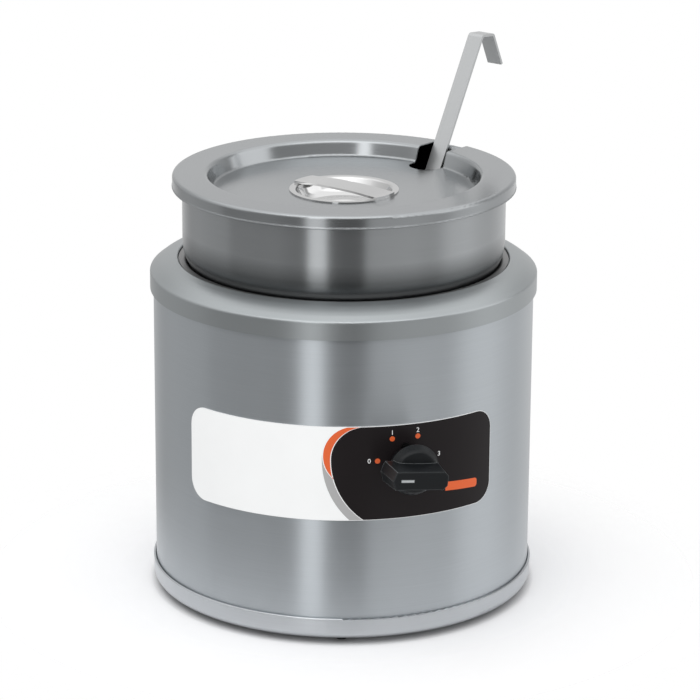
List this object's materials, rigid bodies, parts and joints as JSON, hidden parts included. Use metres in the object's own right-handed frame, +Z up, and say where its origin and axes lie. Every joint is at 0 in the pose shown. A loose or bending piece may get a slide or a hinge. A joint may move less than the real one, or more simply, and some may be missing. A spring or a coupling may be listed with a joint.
{
  "type": "countertop food warmer",
  "caption": "Round countertop soup warmer: a steel body with a dial, an inset pot, a slotted lid and a ladle that stands in the pot.",
  "frame": {"origin": "on the counter, at the axis of the round body", "axes": "+Z up, -Y to the front (the control panel), +X to the right as seen from the front"},
  "size_m": [0.2666, 0.309, 0.3658],
  "materials": {
    "shell_steel": "satin, fine upright grain",
    "cast_grey": "satin",
    "ring_bright": "bright satin",
    "pot_steel": "satin, turned",
    "lid_steel": "satin, turned",
    "polished_steel": "polished",
    "ladle_steel": "satin, grain along the handle",
    "well_metal": "satin",
    "plated_steel": "zinc plated",
    "foot_rubber": "matt",
    "panel_film": "printed film, semi-gloss",
    "knob_plastic": "black, semi-matt",
    "pointer_paint": "pale grey fill",
    "phenolic": "moulded",
    "gland_nylon": "black nylon",
    "brass_tab": "bare",
    "glass_wool": "pressed fibre",
    "heater_plate": "mica in a metal tray",
    "lead_sleeve": "braided glass sleeve"
  },
  "bodies": {
    "base": {"outer_shell": "shell_steel", "top_collar": "cast_grey", "base_ring": "ring_bright", "bottom_pan": "plated_steel", "foot_front_left": "foot_rubber", "foot_front_right": "foot_rubber", "foot_rear_left": "foot_rubber", "foot_rear_right": "foot_rubber", "foot_screws": "plated_steel", "foot_nuts": "plated_steel", "pan_screws": "plated_steel", "well_liner": "well_metal", "control_panel": "panel_film", "thermostat_body": "phenolic", "thermostat_saddle": "plated_steel", "thermostat_screws": "plated_steel", "thermostat_terminals": "brass_tab", "insulation_wrap": "glass_wool", "heater_disc": "heater_plate", "heater_terminals": "brass_tab", "pressure_plate": "plated_steel", "limit_cutout": "phenolic", "well_stud": "plated_steel", "stud_nuts": "plated_steel", "stud_washer": "plated_steel", "cord_gland": "gland_nylon", "gland_nut": "gland_nylon", "terminal_block": "gland_nylon", "terminal_screws": "brass_tab", "feed_lead": "lead_sleeve", "load_lead": "lead_sleeve", "limit_lead": "lead_sleeve", "return_lead": "lead_sleeve"},
    "knob": {"control_knob": "knob_plastic", "knob_pointer_line": "pointer_paint", "thermostat_stem": "plated_steel"},
    "pot": {"inset_pot": "pot_steel"},
    "lid": {"lid": "lid_steel", "lid_dish": "polished_steel", "lid_handle": "polished_steel"},
    "ladle": {"ladle_bowl": "ladle_steel", "ladle_handle": "ladle_steel"}
  },
  "joints": [
    {"name": "knob_turn", "type": "hinge", "parent": "base", "child": "knob", "pos_m": [0.04135, -0.1243, 0.128], "axis": [-0.3156, 0.9489, 0], "range_deg": [0, 167.5]},
    {"name": "pot_lift", "type": "slide", "parent": "base", "child": "pot", "axis": [0, 0, 1], "range_m": [0, 0.215]},
    {"name": "lid_lift", "type": "slide", "parent": "pot", "child": "lid", "axis": [0, 0, 1], "range_m": [0, 0.12]},
    {"name": "ladle_lift", "type": "slide", "parent": "pot", "child": "ladle", "axis": [0.2977, 0.369, 0.8805], "range_m": [0, 0.12]}
  ]
}
